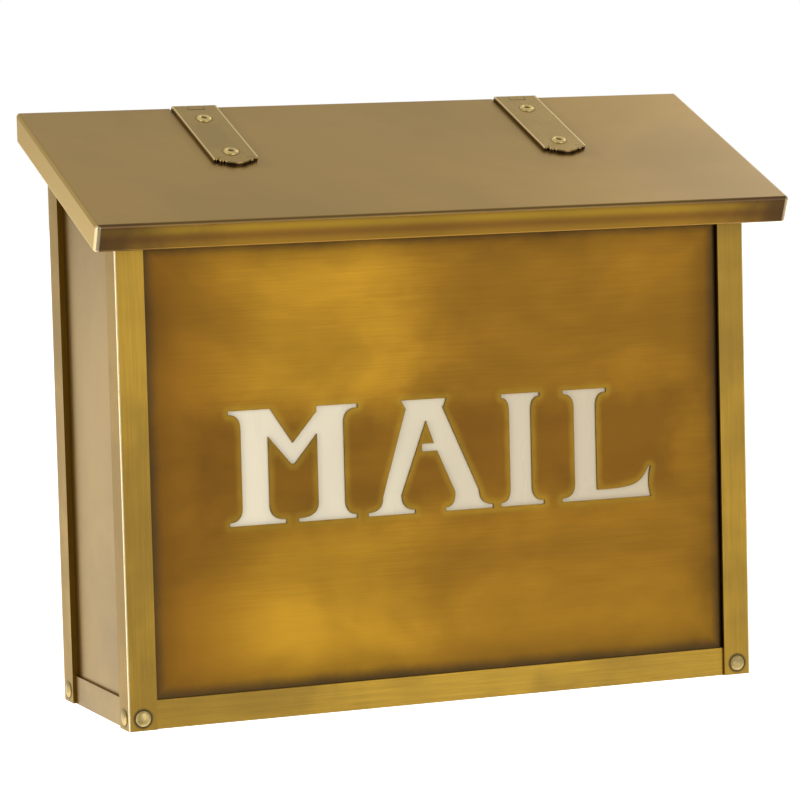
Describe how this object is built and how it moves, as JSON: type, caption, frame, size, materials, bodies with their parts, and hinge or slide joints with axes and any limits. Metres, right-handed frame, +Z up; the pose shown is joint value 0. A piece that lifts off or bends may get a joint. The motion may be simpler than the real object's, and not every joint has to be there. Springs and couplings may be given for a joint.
{
  "type": "wall mounted mailbox",
  "caption": "Antiqued brass wall mailbox: riveted angle frame, sheet panels, glazed stencil front and a sloping lid on two strap hinges.",
  "frame": {"origin": "centre of the four wall screws, on the face that meets the wall", "axes": "+X to the right across the width, +Y into the wall, +Z up"},
  "size_m": [0.393, 0.1373, 0.3205],
  "materials": {
    "lid_brass": "satin antique brass, smooth",
    "front_brass": "horizontally brushed antique brass with a cloudy patina",
    "frame_brass": "lengthways brushed antique brass",
    "rail_brass": "lengthways brushed antique brass, lighter",
    "side_brass": "smooth satin antique brass",
    "hinge_brass": "satin antique brass with bright cut edges",
    "rivet_brass": "tumbled brass",
    "clip_brass": "satin brass",
    "cream_glass": "opalescent cream glass, faintly streaked"
  },
  "bodies": {
    "body": {"left_hinge_leaf": "hinge_brass", "right_hinge_leaf": "hinge_brass", "left_hinge_pin": "hinge_brass", "right_hinge_pin": "hinge_brass", "left_leaf_rivets": "rivet_brass", "right_leaf_rivets": "rivet_brass", "front_corner_rivets": "rivet_brass", "left_corner_rivets": "rivet_brass", "right_corner_rivets": "rivet_brass", "rear_frame_rivets": "rivet_brass", "front_left_post": "frame_brass", "front_right_post": "frame_brass", "rear_left_post": "frame_brass", "rear_right_post": "frame_brass", "front_bottom_rail": "rail_brass", "rear_bottom_rail": "rail_brass", "left_bottom_rail": "rail_brass", "right_bottom_rail": "rail_brass", "front_top_rail": "rail_brass", "rear_top_rail": "rail_brass", "left_top_rail": "rail_brass", "right_top_rail": "rail_brass", "front_panel": "front_brass", "left_panel": "side_brass", "right_panel": "side_brass", "floor_panel": "side_brass", "back_plate": "side_brass", "rear_packing_strips": "frame_brass", "letter_glass": "cream_glass", "glass_clips": "clip_brass"},
    "lid": {"lid_shell": "lid_brass", "left_hinge_strap": "hinge_brass", "right_hinge_strap": "hinge_brass", "left_strap_rivets": "rivet_brass", "right_strap_rivets": "rivet_brass"}
  },
  "joints": [
    {"name": "lid_hinge", "type": "hinge", "parent": "body", "child": "lid", "pos_m": [0, -0.0046, 0.15119], "axis": [-1, 0, 0], "range_deg": [0, 110]}
  ]
}
